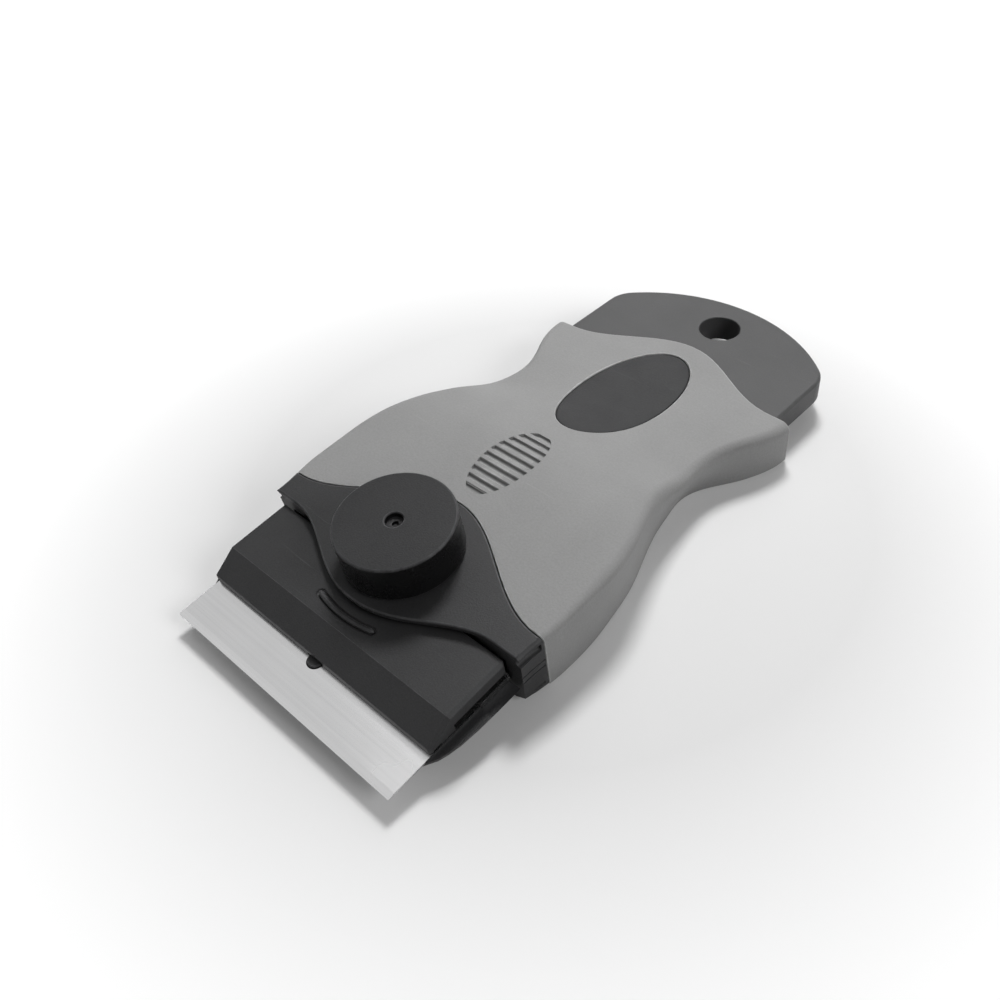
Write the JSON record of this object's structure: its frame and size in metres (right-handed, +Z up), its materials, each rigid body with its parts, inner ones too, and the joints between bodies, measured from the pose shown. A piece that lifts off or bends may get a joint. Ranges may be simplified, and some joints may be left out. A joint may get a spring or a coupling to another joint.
{
  "type": "razor blade scraper",
  "caption": "Hand scraper with a waisted soft-grip handle, hanging tongue, clamping knob and a sliding jaw carriage that holds a wide razor blade.",
  "frame": {"origin": "centre of the scraper's outer box, on the plane of the handle's flat underside", "axes": "+X across the handle to the user's right with the blade pointing away, +Y from the blade to the hanging end, +Z up out of the knob side"},
  "size_m": [0.043, 0.091, 0.0157],
  "materials": {
    "core_plastic": "dark grey moulded plastic, satin",
    "cover_plastic": "black moulded plastic, fine satin grain",
    "jaw_plastic": "black moulded plastic, slightly glossier than the cover",
    "knob_plastic": "black moulded plastic, matt top and smooth side",
    "grip_rubber": "mid grey soft grip, matt",
    "pad_rubber": "dark grey soft pad, matt",
    "blade_steel": "brushed along the cutting edge",
    "fastener_steel": "plain zinc-plated steel",
    "insert_brass": "turned brass"
  },
  "bodies": {
    "handle": {"core_base": "core_plastic", "core_top": "core_plastic", "front_cover": "cover_plastic", "grip_sleeve": "grip_rubber", "thumb_pad": "pad_rubber", "clamp_bolt": "fastener_steel", "case_screw_front_left": "fastener_steel", "case_screw_front_right": "fastener_steel", "case_screw_rear_left": "fastener_steel", "case_screw_rear_right": "fastener_steel"},
    "washer_stack": {"thrust_washer": "fastener_steel", "spring_washer": "fastener_steel"},
    "knob_group": {"knob": "knob_plastic", "knob_insert": "insert_brass"},
    "carriage": {"lower_jaw": "jaw_plastic", "blade": "blade_steel", "blade_spine": "blade_steel", "blade_peg": "jaw_plastic", "jaw_pin": "fastener_steel"},
    "jaw": {"upper_jaw": "jaw_plastic"}
  },
  "joints": [
    {"name": "knob_rise", "type": "slide", "parent": "handle", "child": "washer_stack", "axis": [0, -0.1045, 0.9945], "range_m": [0, 0.00105]},
    {"name": "knob_turn", "type": "hinge", "parent": "washer_stack", "child": "knob_group", "pos_m": [0, -0.02465, 0.01038], "axis": [0, -0.1045, 0.9945], "range_deg": [0, 540]},
    {"name": "carriage_slide", "type": "slide", "parent": "handle", "child": "carriage", "axis": [0, -0.9945, -0.1045], "range_m": [0, 0.012]},
    {"name": "jaw_open", "type": "hinge", "parent": "carriage", "child": "jaw", "pos_m": [0, -0.00654, 0.00645], "axis": [-1, 0, 0], "range_deg": [0, 1.2]}
  ],
  "couplings": [
    {"joint": "knob_turn", "follows": "knob_rise", "rad_per_m": 8975.9}
  ]
}
